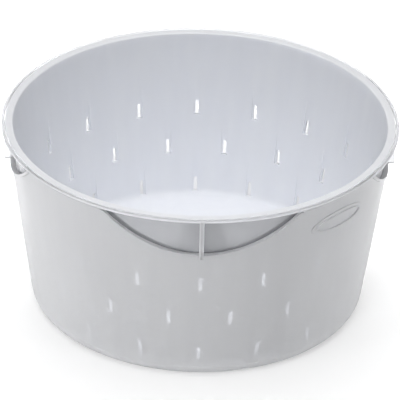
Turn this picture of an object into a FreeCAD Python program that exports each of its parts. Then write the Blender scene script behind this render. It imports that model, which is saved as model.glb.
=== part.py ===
"""Salad spinner without its lid: a translucent outer bowl with a slotted basket that turns inside it.

The bowl stands on the plane z = 0 with its centre on the Z axis. Both shells are thin cones that open
upwards. The basket's flange lies inside the bowl's lip, level with its top. The basket turns on a
steel pin in the middle of the bowl's floor, through a plain bush and a thrust washer, and it lifts
straight out. Four crescent windows under the bowl's lip are each bridged by one upright fin.
"""
import FreeCAD, Part
import math
import os

# --- driving dimensions, millimetres -------------------------------------------------------------
RIM_R = 125.0              # outside of the bowl's lip
HEIGHT = 124.0             # base to the top of the rim
BOWL_TOP_R = 122.5         # outside of the bowl's wall, carried up to the rim plane
BOWL_DRAFT = 0.142         # how much the bowl's radius grows for each mm of height
BOWL_WALL = 1.8
BASKET_TOP_R = 117.7       # inside of the basket's wall, carried up to the rim plane
BASKET_DRAFT = 0.137
BASKET_WALL = 1.8

LIP_INNER_R = 123.0        # the bowl's lip outside the basket's flange
LIP_HEIGHT = 1.4
LIP_FLARE_DROP = 4.2       # where the flare under the lip meets the wall, below the rim plane
LEDGE_DROP = 2.0           # step under the basket's flange, below the rim plane
FLANGE_R = 122.6
FLANGE_THICKNESS = 1.2

BASE_RECESS = 1.5          # the middle of the bowl's base stands this far off the table
FOOT_INNER_R = 84.0
BOWL_FLOOR_TOP = 3.5
BASE_FILLET = 10.0

WINDOW_DEPTH = 27.5        # lowest point of a crescent window, below the rim plane
WINDOW_ARC_R = 88.0        # radius of the crescent's lower edge, seen from the side
WINDOW_TOP_DROP = 1.5
WINDOW_COUNT = 4
SILL_BEAD_WIDTH = 1.6      # raised bead along the window's lower edge
SILL_BEAD_HEIGHT = 0.8
SILL_BEAD_INWARD = 0.6     # how far the bead also stands in from the wall's inner face

FIN_R = 123.1              # outer face of the fin that bridges a window
FIN_WIDTH = 2.8
FIN_DEPTH = 28.6           # bottom of the fin, below the rim plane
FIN_GROOVE_WIDTH = 1.1
FIN_GROOVE_DEPTH = 0.5

PAD_ANGLE = 45.0           # degrees from the front, towards +X
PAD_DROP = 21.0            # centre of the oval pad, below the rim plane
PAD_HALF_WIDTH = 22.5
PAD_HALF_HEIGHT = 8.0
PAD_BAND = 3.2             # width of the flat band
PAD_PROUD = 0.5
PAD_BEAD = 1.4             # width of the bead along the band's inner edge
PAD_BEAD_PROUD = 1.1
PAD_BEAD_FILLET = 0.45

SLITS_PER_ROW = 18
SLIT_ROW_DROPS = (46.5, 73.6, 100.6)   # top of each row's slits, below the rim plane
SLIT_HEIGHT = 10.0
SLIT_WIDTH = 2.3
POCKET_WIDTH = 4.2         # groove in the inner face that leads down into each slit
POCKET_DEPTH = 1.2         # at the slit's lower end
POCKET_RUN_UP = 14.0       # how far the groove starts above its slit

BASKET_FLOOR_TOP = 11.6
BASKET_FLOOR = 1.8
HUB_TOP = 28.0
HUB_TOP_R = 8.6
HUB_BASE_R = 11.0

BOSS_R = 8.5
BOSS_TOP = 8.0
PIN_R = 3.0
PIN_BOTTOM = 3.3
PIN_TOP = 24.0
PIN_CHAMFER = 0.8
BUSH_R = 6.0
BUSH_LENGTH = 14.5
RUNNING_FIT = 0.05         # radial clearance of the bush and washer on the pin
WASHER_R = 8.0
WASHER_THICKNESS = 1.0
SOCKET_HEADROOM = 1.4      # air above the pin's tip inside the hub

# --- derived dimensions --------------------------------------------------------------------------
WASHER_BOTTOM = BOSS_TOP
BUSH_BOTTOM = WASHER_BOTTOM + WASHER_THICKNESS
BUSH_TOP = BUSH_BOTTOM + BUSH_LENGTH
SOCKET_TOP = PIN_TOP + SOCKET_HEADROOM
BASKET_FLOOR_BOTTOM = BASKET_FLOOR_TOP - BASKET_FLOOR
Z_AXIS = FreeCAD.Vector(0, 0, 1)
ORIGIN = FreeCAD.Vector(0, 0, 0)


def bowl_outer(z):
    return BOWL_TOP_R + BOWL_DRAFT * (z - HEIGHT)


def bowl_inner(z):
    return bowl_outer(z) - BOWL_WALL


def basket_inner(z):
    return BASKET_TOP_R + BASKET_DRAFT * (z - HEIGHT)


def basket_outer(z):
    return basket_inner(z) + BASKET_WALL


def rounded_profile(corners):
    """Closed wire in the XZ plane through (x, z, fillet radius) corners, with tangent arcs."""
    edges = []
    count = len(corners)
    starts, ends = [], []
    for i, (x, z, fillet) in enumerate(corners):
        here = FreeCAD.Vector(x, 0, z)
        before = FreeCAD.Vector(corners[i - 1][0], 0, corners[i - 1][1])
        after = FreeCAD.Vector(corners[(i + 1) % count][0], 0, corners[(i + 1) % count][1])
        back = (before - here).normalize()
        ahead = (after - here).normalize()
        if fillet == 0:
            starts.append(here)
            ends.append(here)
            continue
        half = math.acos(max(-1.0, min(1.0, back.dot(ahead)))) / 2
        setback = fillet / math.tan(half)
        first = here + back * setback
        last = here + ahead * setback
        bisector = (back + ahead).normalize()
        middle = here + bisector * (fillet / math.sin(half) - fillet)
        edges.append((i, Part.Arc(first, middle, last).toShape()))
        starts.append(first)
        ends.append(last)
    arcs = dict(edges)
    chain = []
    for i in range(count):
        if i in arcs:
            chain.append(arcs[i])
        nxt = (i + 1) % count
        if (ends[i] - starts[nxt]).Length > 1e-6:
            chain.append(Part.LineSegment(ends[i], starts[nxt]).toShape())
    return Part.Wire(Part.__sortEdges__(chain))


def revolved(corners):
    face = Part.Face(rounded_profile(corners))
    return face.revolve(ORIGIN, Z_AXIS, 360)


def cone_shell(inner_gap, outer_gap, low, high):
    """Shell around the bowl's outer wall, from inner_gap to outer_gap outside it."""
    corners = [
        (bowl_outer(low) + inner_gap, low, 0), (bowl_outer(low) + outer_gap, low, 0),
        (bowl_outer(high) + outer_gap, high, 0), (bowl_outer(high) + inner_gap, high, 0),
    ]
    return revolved(corners)


def radial_cylinder(radius, z_centre, angle):
    """Cylinder along the outward direction at an angle from the front, through the bowl's wall."""
    cylinder = Part.makeCylinder(
        radius, 40, FreeCAD.Vector(0, -RIM_R + 35, z_centre), FreeCAD.Vector(0, -1, 0))
    cylinder.rotate(ORIGIN, Z_AXIS, angle)
    return cylinder


def wide_slab(z_low, z_high):
    """Box wider than the bowl between two heights."""
    size = 2 * RIM_R + 20
    return Part.makeBox(size, size, z_high - z_low, FreeCAD.Vector(-size / 2, -size / 2, z_low))


def bowl_body():
    """Wall, lip, ledge, base and centre boss, as one turned shape."""
    flare_z = HEIGHT - LIP_FLARE_DROP
    ledge_z = HEIGHT - LEDGE_DROP
    corners = [
        (0, BASE_RECESS, 0),
        (FOOT_INNER_R, BASE_RECESS, 0.8),
        (FOOT_INNER_R + BASE_RECESS, 0, 0.6),
        (bowl_outer(0), 0, BASE_FILLET),
        (bowl_outer(flare_z), flare_z, 1.0),
        (RIM_R, HEIGHT - LIP_HEIGHT, 0.5),
        (RIM_R, HEIGHT, 0.5),
        (LIP_INNER_R, HEIGHT, 0.4),
        (LIP_INNER_R, ledge_z, 0.2),
        (bowl_inner(ledge_z), ledge_z, 0.5),
        (bowl_inner(BOWL_FLOOR_TOP), BOWL_FLOOR_TOP, BASE_FILLET - BOWL_WALL),
        (BOSS_R + 2.0, BOWL_FLOOR_TOP, 1.5),
        (BOSS_R, BOSS_TOP, 0.5),
        (PIN_R, BOSS_TOP, 0),
        (PIN_R, PIN_BOTTOM, 0),
        (0, PIN_BOTTOM, 0),
    ]
    return revolved(corners)


def window_centre():
    return HEIGHT - WINDOW_DEPTH + WINDOW_ARC_R


def window_cutter(angle):
    """Crescent through the wall: a large cylinder, cut off level under the lip."""
    below_lip = wide_slab(0, HEIGHT - WINDOW_TOP_DROP)
    return radial_cylinder(WINDOW_ARC_R, window_centre(), angle).common(below_lip)


def sill_bead(angle):
    """Bead that thickens the wall along the crescent's lower edge, outside and inside."""
    ring = radial_cylinder(WINDOW_ARC_R + SILL_BEAD_WIDTH, window_centre(), angle)
    ring = ring.cut(radial_cylinder(WINDOW_ARC_R, window_centre(), angle))
    low = HEIGHT - WINDOW_DEPTH - 10
    shell = cone_shell(
        -BOWL_WALL - SILL_BEAD_INWARD, SILL_BEAD_HEIGHT, low, HEIGHT - LIP_FLARE_DROP)
    return ring.common(shell)


def window_fin(angle):
    """Upright rib from the lip down across the window, with a groove down its outer face."""
    bottom = HEIGHT - FIN_DEPTH
    inner_y = bowl_inner(bottom) + 0.6
    fin = Part.makeBox(
        FIN_WIDTH, FIN_R - inner_y, FIN_DEPTH - LIP_HEIGHT / 2,
        FreeCAD.Vector(-FIN_WIDTH / 2, -FIN_R, bottom))
    upright = [edge for edge in fin.Edges
               if edge.Length > FIN_DEPTH / 2 and edge.CenterOfMass.y < -FIN_R + 0.1]
    fin = fin.makeFillet(0.4, upright)
    groove = Part.makeBox(
        FIN_GROOVE_WIDTH, 2 * FIN_GROOVE_DEPTH, FIN_DEPTH - 2.0,
        FreeCAD.Vector(-FIN_GROOVE_WIDTH / 2, -FIN_R - FIN_GROOVE_DEPTH, bottom + 0.8))
    fin = fin.cut(groove)
    clearance = Part.makeCone(
        bowl_inner(bottom) + 0.05, bowl_inner(HEIGHT) + 0.05, FIN_DEPTH,
        FreeCAD.Vector(0, 0, bottom))
    flange_space = Part.makeCylinder(LIP_INNER_R, 10, FreeCAD.Vector(0, 0, HEIGHT - LEDGE_DROP))
    fin = fin.cut(clearance).cut(flange_space)
    fin.rotate(ORIGIN, Z_AXIS, angle)
    return fin


def oval_prism(half_width, half_height, angle):
    """Elliptic prism along the outward direction at an angle from the front."""
    centre = FreeCAD.Vector(0, -RIM_R + 25, HEIGHT - PAD_DROP)
    ellipse = Part.Ellipse(
        centre + FreeCAD.Vector(half_width, 0, 0),
        centre + FreeCAD.Vector(0, 0, half_height), centre)
    prism = Part.Face(Part.Wire(ellipse.toShape())).extrude(FreeCAD.Vector(0, -40, 0))
    prism.rotate(ORIGIN, Z_AXIS, angle)
    return prism


def oval_ring(outer_inset, width, proud):
    """Oval ring on the outside of the wall, from outer_inset inside the pad's edge."""
    centre_z = HEIGHT - PAD_DROP
    shell = cone_shell(-BOWL_WALL / 2, proud, centre_z - 15, centre_z + 15)
    half_width, half_height = PAD_HALF_WIDTH - outer_inset, PAD_HALF_HEIGHT - outer_inset
    outside = oval_prism(half_width, half_height, PAD_ANGLE)
    return outside.cut(oval_prism(half_width - width, half_height - width, PAD_ANGLE)).common(shell)


def stands_proud(edge, proud):
    """Whether an edge lies on the ring's outer face, proud of the bowl's wall."""
    middle = edge.valueAt((edge.FirstParameter + edge.LastParameter) / 2)
    return abs(math.hypot(middle.x, middle.y) - bowl_outer(middle.z) - proud) < 0.1


def oval_pad():
    """Plain oval band with a rounded bead along its inner edge, on the outside of the wall."""
    band = oval_ring(0, PAD_BAND, PAD_PROUD)
    bead = oval_ring(PAD_BAND - PAD_BEAD / 2, PAD_BEAD, PAD_BEAD_PROUD)
    outer_edges = [edge for edge in bead.Edges if stands_proud(edge, PAD_BEAD_PROUD)]
    return [band, bead.makeFillet(PAD_BEAD_FILLET, outer_edges)]


def make_outer_bowl():
    bowl = bowl_body()
    angles = [i * 360 / WINDOW_COUNT for i in range(WINDOW_COUNT)]
    bowl = bowl.cut([window_cutter(angle) for angle in angles])
    extras = [sill_bead(angle) for angle in angles] + [window_fin(angle) for angle in angles]
    return bowl.fuse(extras + oval_pad()).removeSplitter()


def slit_cutter(drop, angle):
    """Upright slit with a rounded top, cut straight out through the wall."""
    top = HEIGHT - drop
    bottom = top - SLIT_HEIGHT
    half = SLIT_WIDTH / 2
    inner_y = -(basket_inner(bottom) - 4.0)
    depth = basket_outer(top) + inner_y + 3.0
    corners = [
        FreeCAD.Vector(-half, inner_y, bottom), FreeCAD.Vector(-half, inner_y, top - half),
        FreeCAD.Vector(0, inner_y, top),
        FreeCAD.Vector(half, inner_y, top - half), FreeCAD.Vector(half, inner_y, bottom),
    ]
    outline = Part.Wire([
        Part.LineSegment(corners[0], corners[1]).toShape(),
        Part.Arc(corners[1], corners[2], corners[3]).toShape(),
        Part.LineSegment(corners[3], corners[4]).toShape(),
        Part.LineSegment(corners[4], corners[0]).toShape(),
    ])
    cutter = Part.Face(outline).extrude(FreeCAD.Vector(0, -depth, 0))
    cutter.rotate(ORIGIN, Z_AXIS, angle)
    return cutter


def pocket_cutter(drop, angle):
    """Shallow groove inside the wall: flush well above the slit, deepest at the slit's lower end."""
    bottom = HEIGHT - drop - SLIT_HEIGHT
    start = HEIGHT - drop + POCKET_RUN_UP
    half = POCKET_WIDTH / 2
    profile = [
        FreeCAD.Vector(-half, -basket_inner(start), start),
        FreeCAD.Vector(-half, -basket_inner(bottom) - POCKET_DEPTH, bottom),
        FreeCAD.Vector(-half, -basket_inner(bottom) + 4.0, bottom),
        FreeCAD.Vector(-half, -basket_inner(start) + 4.0, start),
    ]
    cutter = Part.Face(Part.makePolygon(profile + profile[:1])).extrude(
        FreeCAD.Vector(POCKET_WIDTH, 0, 0))
    cutter.rotate(ORIGIN, Z_AXIS, angle)
    return cutter


def slit_cutters():
    """Three rows of slits; the middle row stands half a pitch round from the others."""
    pitch = 360 / SLITS_PER_ROW
    cutters = []
    for row, drop in enumerate(SLIT_ROW_DROPS):
        offset = pitch / 2 if row == 1 else 0
        for i in range(SLITS_PER_ROW):
            angle = offset + i * pitch
            cutters.append(slit_cutter(drop, angle).fuse(pocket_cutter(drop, angle)))
    return cutters


def make_spin_basket():
    flange_bottom = HEIGHT - FLANGE_THICKNESS
    corners = [
        (BUSH_R, BASKET_FLOOR_BOTTOM, 0),
        (BUSH_R, SOCKET_TOP, 0.5),
        (0, SOCKET_TOP, 0),
        (0, HUB_TOP, 0),
        (HUB_TOP_R, HUB_TOP, 1.5),
        (HUB_BASE_R, BASKET_FLOOR_TOP, 2.5),
        (basket_inner(BASKET_FLOOR_TOP), BASKET_FLOOR_TOP, 5.0),
        (basket_inner(HEIGHT), HEIGHT, 1.1),
        (FLANGE_R, HEIGHT, 0.4),
        (FLANGE_R, flange_bottom, 0.4),
        (basket_outer(flange_bottom), flange_bottom, 0.5),
        (basket_outer(BASKET_FLOOR_BOTTOM), BASKET_FLOOR_BOTTOM, 6.5),
    ]
    return revolved(corners).cut(slit_cutters())


def make_pivot_pin():
    corners = [
        (0, PIN_BOTTOM, 0), (PIN_R, PIN_BOTTOM, 0), (PIN_R, PIN_TOP - PIN_CHAMFER, 0),
        (PIN_R - PIN_CHAMFER, PIN_TOP, 0), (0, PIN_TOP, 0),
    ]
    return revolved(corners)


def ring(inner_r, outer_r, low, high):
    tube = Part.makeCylinder(outer_r, high - low, FreeCAD.Vector(0, 0, low))
    return tube.cut(Part.makeCylinder(inner_r, high - low, FreeCAD.Vector(0, 0, low)))


def make_basket_bush():
    return ring(PIN_R + RUNNING_FIT, BUSH_R, BUSH_BOTTOM, BUSH_TOP)


def make_thrust_washer():
    return ring(PIN_R + RUNNING_FIT, WASHER_R, WASHER_BOTTOM, BUSH_BOTTOM)


NODES = {
    "outer_bowl": make_outer_bowl,
    "spin_basket": make_spin_basket,
    "pivot_pin": make_pivot_pin,
    "basket_bush": make_basket_bush,
    "thrust_washer": make_thrust_washer,
}

os.makedirs("parts", exist_ok=True)
for name, make in NODES.items():
    shape = make()
    box = shape.BoundBox
    print(name, "solids", len(shape.Solids), "valid", shape.isValid(), "volume %.0f" % shape.Volume,
          "x %.2f..%.2f y %.2f..%.2f z %.2f..%.2f" % (
              box.XMin, box.XMax, box.YMin, box.YMax, box.ZMin, box.ZMax))
    shape.exportStep("parts/" + name + ".step")
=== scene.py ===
"""Salad spinner without its lid: translucent bowl and slotted basket, on a plain pale floor."""
import bpy
import math
from mathutils import Matrix, Vector


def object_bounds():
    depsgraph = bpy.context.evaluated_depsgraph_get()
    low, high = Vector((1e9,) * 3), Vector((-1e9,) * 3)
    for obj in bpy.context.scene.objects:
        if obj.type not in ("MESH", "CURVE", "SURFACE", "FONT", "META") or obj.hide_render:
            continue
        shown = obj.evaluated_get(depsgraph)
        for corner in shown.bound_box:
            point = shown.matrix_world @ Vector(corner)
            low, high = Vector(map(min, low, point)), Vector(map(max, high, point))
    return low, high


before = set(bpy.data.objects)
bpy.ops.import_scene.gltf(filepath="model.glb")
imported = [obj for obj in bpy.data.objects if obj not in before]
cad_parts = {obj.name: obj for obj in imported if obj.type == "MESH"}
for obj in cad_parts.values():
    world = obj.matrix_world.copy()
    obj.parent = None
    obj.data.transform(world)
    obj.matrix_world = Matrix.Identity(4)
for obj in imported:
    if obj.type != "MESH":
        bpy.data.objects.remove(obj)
cad_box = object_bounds()

# Lengths are in metres, angles in degrees and the power of lamps in watts. The fineness of a texture
# is in cells to the metre, either one number or one each for x, y and z. The object's front faces -Y.

# --- camera ---------------------------------------------------------------------------------------
CAMERA_AZIMUTH = -1.24              # turn from -Y; a negative one is towards -X
CAMERA_ELEVATION = 29.01
CAMERA_DISTANCE = 2.422             # from the middle of the rim
CAMERA_AIM = (0.0010, 0, 0.0661)    # the point in the middle of the view
CAMERA_ROLL = 1.40
CAMERA_CLIP = (0.1, 50)             # the nearest and the farthest that it sees
CAMERA_LENS = 347.2                 # millimetres
SENSOR_WIDTH = 36.0                 # millimetres

# --- plastic of the bowl and the basket -----------------------------------------------------------
PLASTIC_IOR = 1.49
PLASTIC_GRAIN = 350                 # fineness of the frosting
PLASTIC_GRAIN_DEPTH = 0.000006
PLASTIC_TINT = (0.975, 0.975, 0.98)    # what a full flow streak multiplies the colour by

BOWL_COLOUR = (0.76, 0.765, 0.78)
BOWL_ROUGHNESS = 0.34
BOWL_STREAKS = (160, 160, 9)
SCUFF_HEIGHT = 0.012                # how far up the bowl its scuffs reach

BASKET_INSIDE = (0.87, 0.885, 0.925)
# Painted shade, not the plastic's colour: dark grey given to the basket's outward faces for the shade
# in the gap under the bowl's rim
BASKET_PAINTED_SHADE = (0.32, 0.325, 0.34)
PAINTED_SHADE_TURN = (0.3, 0.6)           # cosine from outward where the painted shade on the outward faces starts and is full
BASKET_ROUGHNESS = 0.35
BASKET_STREAKS = (120, 120, 8)

BOWL_RIM = (0.86, 0.865, 0.89)
BASKET_RIM = (0.85, 0.86, 0.885)
RIM_DEPTH = 0.0016                  # how far down from the top the rim colour is blended in

# --- steel and acetal of the pivot ----------------------------------------------------------------
PIN_COLOUR = (0.62, 0.62, 0.63)
PIN_ROUGHNESS = 0.28
BUSH_COLOUR = (0.82, 0.81, 0.78)
WASHER_COLOUR = (0.70, 0.70, 0.69)
ACETAL_ROUGHNESS = 0.42

# --- shared by every texture ----------------------------------------------------------------------
GLOSS_PATCHES = (45, 45, 45)
GLOSS_LOW = -0.03                   # the least that a patch adds to the roughness
GLOSS_HIGH = 0.05                   # the most
SCUFF_FINENESS = (500, 500, 60)
SCUFF_TURN = (0.5, 0.65)            # values of the noise where a scuff starts and is full
SCUFF_ROUGHNESS = 0.3               # added where a scuff is full

# --- floor and light ------------------------------------------------------------------------------
WHITE = (1, 1, 1, 1)
FLOOR_COLOUR = (0.66, 0.66, 0.66)
FLOOR_ROUGHNESS = 0.9
FLOOR_GLOW = 0.36
FLOOR_REACH = 6.0                   # from the object to each edge of the floor
FLOOR_GAP = 0.0001                  # keeps the floor's face clear of the bowl's foot
SKY_LOW = 0.15                      # strength of the sky as light, low down
SKY_HIGH = 2.3                      # overhead
SKY_TURN = (0.78, 0.95)             # sine of the elevation where it starts to rise and is full
BACK_STRENGTH = 0.2                 # added to the sky behind the object, towards +Y
BACK_TURN = (0.0, 0.8)              # how far a direction leans to +Y where that starts and is full
LAMPS = (
    # name, place, how far behind the object's middle it points, side, power
    ("left_box", (-1.22, -0.7, 0.05), 0.0, 0.2, 24.0),
    ("right_box", (1.2, -0.75, 0.05), 0.0, 0.2, 15.0),
    ("top_box", (-0.3, -1.2, 1.25), 0.0, 0.5, 7.5),
    ("back_box", (0.0, 1.00, 0.05), 0.1, 0.2, 2.0),
)
PANEL_ANGLES = (-42, -14, 14, 42)   # places of the low panels behind the bowl, as turns from +Y
PANEL_RADIUS = 0.25
PANEL_HEIGHT = 0.09
PANEL_SIZE = 0.13
PANEL_POWER = 0.26


def make_camera():
    """The camera, set off from the middle of the rim and turned to its aim."""
    azimuth, elevation = math.radians(CAMERA_AZIMUTH), math.radians(CAMERA_ELEVATION)
    back = Vector((math.sin(azimuth) * math.cos(elevation),
                   -math.cos(azimuth) * math.cos(elevation), math.sin(elevation)))
    place = Vector((0, 0, cad_box[1].z)) + back * CAMERA_DISTANCE
    turn = (Vector(CAMERA_AIM) - place).to_track_quat("-Z", "Y").to_matrix().to_4x4()
    camera = bpy.data.objects.new("camera", bpy.data.cameras.new("camera"))
    camera.data.lens = CAMERA_LENS
    camera.data.sensor_width = SENSOR_WIDTH
    camera.data.clip_start, camera.data.clip_end = CAMERA_CLIP
    camera.matrix_world = (Matrix.Translation(place) @ turn
                           @ Matrix.Rotation(math.radians(CAMERA_ROLL), 4, "Z"))
    bpy.context.scene.collection.objects.link(camera)
    bpy.context.scene.camera = camera


def principled(name, colour, roughness, constants):
    """A new material whose constants, given by socket name, sit on the shader's own sockets."""
    material = bpy.data.materials.new(name)
    material.use_nodes = True
    sockets = material.node_tree.nodes["Principled BSDF"].inputs
    sockets["Base Color"].default_value = (*colour, 1)
    sockets["Roughness"].default_value = roughness
    for socket, value in constants.items():
        sockets[socket].default_value = value
    return material


def add_node(tree, kind, inputs=(), **settings):
    """A node with some inputs linked or set, given as (input, output or value) pairs."""
    node = tree.nodes.new("ShaderNode" + kind)
    for setting, value in settings.items():
        setattr(node, setting, value)
    for socket, value in inputs:
        if isinstance(value, bpy.types.NodeSocket):
            tree.links.new(value, node.inputs[socket])
        else:
            node.inputs[socket].default_value = value
    return node


def noise(tree, fineness, detail=3.0):
    """Smooth noise over the piece's own space."""
    place = add_node(tree, "TexCoord").outputs["Object"]
    scaled = add_node(tree, "VectorMath", [(0, place), (1, fineness)], operation="MULTIPLY")
    texture = add_node(tree, "TexNoise", [
        ("Vector", scaled.outputs["Vector"]), ("Scale", 1.0), ("Detail", detail)])
    return texture.outputs["Fac"]


def height(tree):
    """Height in the piece's own space. At rest it is the height above the bowl's foot."""
    place = add_node(tree, "TexCoord").outputs["Object"]
    return add_node(tree, "SeparateXYZ", [("Vector", place)]).outputs["Z"]


def spread(tree, value, low, high, start=0.3, end=0.7, interpolation="LINEAR"):
    """Go from low to high as value goes from start to end, and stay level outside that."""
    return add_node(tree, "MapRange", [
        ("Value", value), ("From Min", start), ("From Max", end),
        ("To Min", low), ("To Max", high)], interpolation_type=interpolation).outputs["Result"]


def mix_colours(tree, factor, first, second, blend="MIX"):
    """The first colour where the factor is 0, blended with the second where it is 1."""
    return add_node(tree, "Mix", [(0, factor), (6, first), (7, second)],
                    data_type="RGBA", blend_type=blend).outputs[2]


def present_colour(colour):
    """What a colour socket has now: the output linked to it, or else its own constant."""
    return colour.links[0].from_socket if colour.is_linked else colour.default_value[:]


def add_texture(material, grain, grain_depth, streaks, tint, scuff_height=None):
    """Fine detail: grain in relief, faint streaks, uneven gloss and, up to a height, scuffs."""
    tree = material.node_tree
    sockets = tree.nodes["Principled BSDF"].inputs
    roughness = sockets["Roughness"].default_value
    fine = noise(tree, (grain, grain, grain), 4.0)
    bump = add_node(tree, "Bump", [("Height", fine), ("Strength", 1.0), ("Distance", grain_depth)])
    tree.links.new(bump.outputs["Normal"], sockets["Normal"])
    patches = noise(tree, GLOSS_PATCHES)
    uneven = spread(tree, patches, roughness + GLOSS_LOW, roughness + GLOSS_HIGH)
    if scuff_height:
        low_down = spread(tree, height(tree), 1.0, 0.0, 0.0, scuff_height)
        scratches = spread(tree, noise(tree, SCUFF_FINENESS, 5.0), 0.0, SCUFF_ROUGHNESS, *SCUFF_TURN)
        scuffs = add_node(tree, "Math", [(0, low_down), (1, scratches)], operation="MULTIPLY")
        uneven = add_node(tree, "Math", [(0, uneven), (1, scuffs.outputs[0])],
                          operation="ADD").outputs[0]
    tree.links.new(uneven, sockets["Roughness"])
    flow = spread(tree, noise(tree, streaks), 0.0, 1.0)
    colour = sockets["Base Color"]
    tinted = mix_colours(tree, flow, present_colour(colour), (*tint, 1), "MULTIPLY")
    tree.links.new(tinted, colour)


def blend_rim_colour(material, rim_colour):
    """Blend the base colour into the colour given for the rim, over the top of the piece."""
    tree = material.node_tree
    colour = tree.nodes["Principled BSDF"].inputs["Base Color"]
    top = cad_box[1].z
    near_top = spread(tree, height(tree), 0.0, 1.0, top - RIM_DEPTH, top - RIM_DEPTH / 2)
    tree.links.new(mix_colours(tree, near_top, present_colour(colour), (*rim_colour, 1)), colour)


def make_bowl_plastic():
    """Frosted, translucent plastic of the outer bowl."""
    material = principled("bowl_plastic", BOWL_COLOUR, BOWL_ROUGHNESS, {
        "IOR": PLASTIC_IOR, "Specular IOR Level": 0.1, "Transmission Weight": 0.7})
    blend_rim_colour(material, BOWL_RIM)
    add_texture(material, PLASTIC_GRAIN, PLASTIC_GRAIN_DEPTH, BOWL_STREAKS, PLASTIC_TINT, SCUFF_HEIGHT)
    return material


def outward(tree):
    """How far the surface faces away from the spin axis, as a cosine."""
    place = add_node(tree, "TexCoord")
    level = add_node(tree, "VectorMath", [(0, place.outputs["Object"]), (1, (1, 1, 0))],
                     operation="MULTIPLY")
    away = add_node(tree, "VectorMath", [(0, level.outputs["Vector"])], operation="NORMALIZE")
    return add_node(tree, "VectorMath", [
        (0, away.outputs["Vector"]), (1, place.outputs["Normal"])],
        operation="DOT_PRODUCT").outputs["Value"]


def make_basket_plastic():
    """Milky plastic of the basket: pale inside, with painted shade making its outward faces dark grey.
    """
    material = principled("basket_plastic", BASKET_INSIDE, BASKET_ROUGHNESS, {
        "IOR": PLASTIC_IOR, "Specular IOR Level": 0.35, "Subsurface Weight": 1.0,
        "Subsurface Radius": (1, 1, 1), "Subsurface Scale": 0.0006})
    tree = material.node_tree
    # Painted shade: faces turned away from the spin axis go dark grey, standing in for the shade in
    # the gap under the bowl's rim
    painted_shade = spread(tree, outward(tree), 0.0, 1.0, *PAINTED_SHADE_TURN)
    colour = mix_colours(tree, painted_shade, (*BASKET_INSIDE, 1), (*BASKET_PAINTED_SHADE, 1))
    tree.links.new(colour, tree.nodes["Principled BSDF"].inputs["Base Color"])
    blend_rim_colour(material, BASKET_RIM)
    add_texture(material, PLASTIC_GRAIN, PLASTIC_GRAIN_DEPTH, BASKET_STREAKS, PLASTIC_TINT)
    return material


def make_pin_steel():
    """Turned stainless steel, with fine rings round the pin."""
    material = principled("pin_steel", PIN_COLOUR, PIN_ROUGHNESS, {"Metallic": 1.0})
    add_texture(material, grain=2500, grain_depth=0.000004, streaks=(8, 8, 3000),
                tint=(0.85, 0.85, 0.85))
    return material


def make_acetal(name, colour):
    """Plain pale acetal, slightly uneven and matt."""
    material = principled(name, colour, ACETAL_ROUGHNESS, {
        "Specular IOR Level": 0.4, "Subsurface Weight": 0.3, "Subsurface Radius": (1, 1, 1),
        "Subsurface Scale": 0.0008})
    add_texture(material, grain=1500, grain_depth=0.00001, streaks=(300, 300, 300),
                tint=(0.93, 0.92, 0.90))
    return material


def set_material(node, material):
    """Give a CAD node this material alone."""
    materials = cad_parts[node].data.materials
    materials.clear()
    materials.append(material)


def make_world():
    """Plain white where the camera sees it directly; as light, a glow overhead and behind."""
    world = bpy.data.worlds.new("studio")
    world.use_nodes = True
    tree = world.node_tree
    sky = tree.nodes["Background"]
    sky.inputs["Color"].default_value = WHITE
    direction = add_node(tree, "TexCoord").outputs["Generated"]
    split = add_node(tree, "SeparateXYZ", [("Vector", direction)])
    overhead = spread(tree, split.outputs["Z"], SKY_LOW, SKY_HIGH, *SKY_TURN, "SMOOTHSTEP")
    behind = spread(tree, split.outputs["Y"], 0, BACK_STRENGTH, *BACK_TURN, "SMOOTHSTEP")
    total = add_node(tree, "Math", [(0, overhead), (1, behind)], operation="ADD")
    tree.links.new(total.outputs["Value"], sky.inputs["Strength"])
    seen = add_node(tree, "Background", [("Color", WHITE)])
    path = add_node(tree, "LightPath")
    mix = add_node(tree, "MixShader", [
        ("Fac", path.outputs["Is Camera Ray"]), (1, sky.outputs["Background"]),
        (2, seen.outputs["Background"])])
    tree.links.new(mix.outputs["Shader"], tree.nodes["World Output"].inputs["Surface"])
    bpy.context.scene.world = world


def add_lamp(name, place, aim, size, power):
    """A square soft light that the camera doesn't see."""
    light = bpy.data.lights.new(name, "AREA")
    light.size, light.energy = size, power
    lamp = bpy.data.objects.new(name, light)
    lamp.location = place
    lamp.rotation_euler = (Vector(aim) - Vector(place)).to_track_quat("-Z", "Y").to_euler()
    lamp.visible_camera = False
    bpy.context.scene.collection.objects.link(lamp)


def make_floor():
    """A wide, pale, matt floor with a faint glow of its own."""
    mesh = bpy.data.meshes.new("floor")
    corners = [(x * FLOOR_REACH, y * FLOOR_REACH, -FLOOR_GAP)
               for x, y in ((-1, -1), (1, -1), (1, 1), (-1, 1))]
    mesh.from_pydata(corners, [], [(0, 1, 2, 3)])
    floor = bpy.data.objects.new("floor", mesh)
    bpy.context.scene.collection.objects.link(floor)
    floor.data.materials.append(principled("floor_white", FLOOR_COLOUR, FLOOR_ROUGHNESS, {
        "Emission Color": WHITE, "Emission Strength": FLOOR_GLOW}))


def make_stage():
    """The floor, the lamps and the low panels that light the floor behind the bowl."""
    bpy.context.scene.view_settings.view_transform = "Standard"
    make_floor()
    for name, place, aim_y, size, power in LAMPS:
        add_lamp(name, place, (0, aim_y, 0), size, power)
    for angle in PANEL_ANGLES:
        x = PANEL_RADIUS * math.sin(math.radians(angle))
        y = PANEL_RADIUS * math.cos(math.radians(angle))
        add_lamp("low_panel", (x, y, PANEL_HEIGHT), (x, y, 0), PANEL_SIZE, PANEL_POWER)


make_camera()
make_world()
make_stage()
set_material("outer_bowl", make_bowl_plastic())
set_material("spin_basket", make_basket_plastic())
set_material("pivot_pin", make_pin_steel())
set_material("basket_bush", make_acetal("bush_acetal", BUSH_COLOUR))
set_material("thrust_washer", make_acetal("washer_acetal", WASHER_COLOUR))
